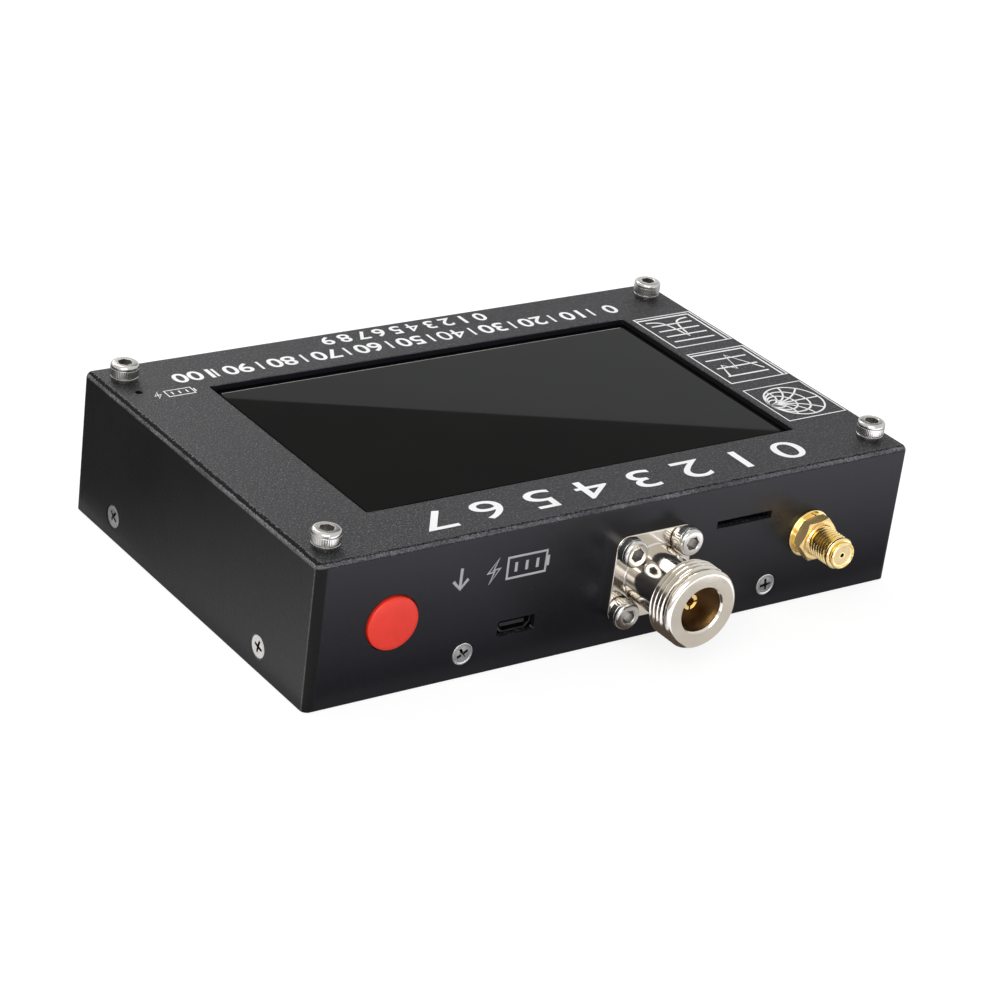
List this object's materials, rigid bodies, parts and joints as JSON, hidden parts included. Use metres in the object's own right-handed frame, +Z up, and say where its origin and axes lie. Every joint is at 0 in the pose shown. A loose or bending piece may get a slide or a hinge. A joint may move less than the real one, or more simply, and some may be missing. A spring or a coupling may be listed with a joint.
{
  "type": "antenna analyzer",
  "caption": "Hand-held antenna analyzer: flat folded-steel case with a touch display on top, coaxial sockets, a card slot, a charging socket and a push button in one wall.",
  "frame": {"origin": "centre of the case's underside", "axes": "+Z up through the display; -Y out of the wall that holds the sockets; +X to the right of someone who looks at that wall"},
  "size_m": [0.134, 0.1026, 0.0325],
  "materials": {
    "cover_paint": "fine textured matt black powder coat",
    "tray_paint": "fine textured matt black powder coat",
    "stainless": "turned stainless steel",
    "plated_standoff": "bright plated brass",
    "foam": "closed-cell foam, black",
    "touch_glass": "polished",
    "dark_panel": "polished black",
    "light_guide": "white",
    "folded_tin": "tinned sheet",
    "ribbon_film": "amber film",
    "board_laminate": "green solder mask",
    "black_moulding": "moulded",
    "lamp_resin": "diffused resin",
    "button_red": "satin red",
    "white_moulding": "moulded",
    "nickel_plate": "bright nickel plate",
    "white_insulator": "waxy white",
    "gold_plate": "gold plate",
    "cell_foil": "laminated foil",
    "tape_foam": "adhesive foam",
    "lead_sheath": "soft sheath"
  },
  "bodies": {
    "case": {"backlight_panel": "light_guide", "battery_cell": "cell_foil", "battery_leads": "lead_sheath", "battery_plug": "white_moulding", "battery_socket": "white_moulding", "battery_tape": "tape_foam", "board_header_pins": "black_moulding", "board_header_socket": "black_moulding", "board_screws": "stainless", "bottom_tray": "tray_paint", "card_socket": "folded_tin", "charge_lamp": "lamp_resin", "charger_chip": "black_moulding", "corner_cap_screws": "stainless", "display_board": "board_laminate", "display_frame": "folded_tin", "display_gasket": "foam", "display_ribbon": "ribbon_film", "hex_standoffs": "plated_standoff", "lcd_cell": "dark_panel", "main_board": "board_laminate", "memory_chip": "black_moulding", "micro_usb_socket": "folded_tin", "n_center_contact": "gold_plate", "n_connector_body": "nickel_plate", "n_flange_nuts": "stainless", "n_flange_screws": "stainless", "n_insulator": "white_insulator", "n_link_strip": "gold_plate", "processor_chip": "black_moulding", "rf_chips": "black_moulding", "rf_shield_can": "folded_tin", "ribbon_socket": "white_moulding", "side_screws": "stainless", "sma_body": "gold_plate", "sma_center_contact": "gold_plate", "sma_hex_nut": "gold_plate", "sma_insulator": "white_insulator", "sma_lock_washer": "gold_plate", "sma_washer": "gold_plate", "switch_housing": "black_moulding", "top_cover": "cover_paint", "touch_panel": "touch_glass", "upper_spacers": "plated_standoff", "usb_tongue": "black_moulding"},
    "button": {"button_cap": "button_red", "switch_plunger": "white_moulding"}
  },
  "joints": [
    {"name": "button_press", "type": "slide", "parent": "case", "child": "button", "axis": [0, 1, 0], "range_m": [0, 0.0006], "stiffness_N_per_m": 1500, "springref_m": -0.0005}
  ]
}
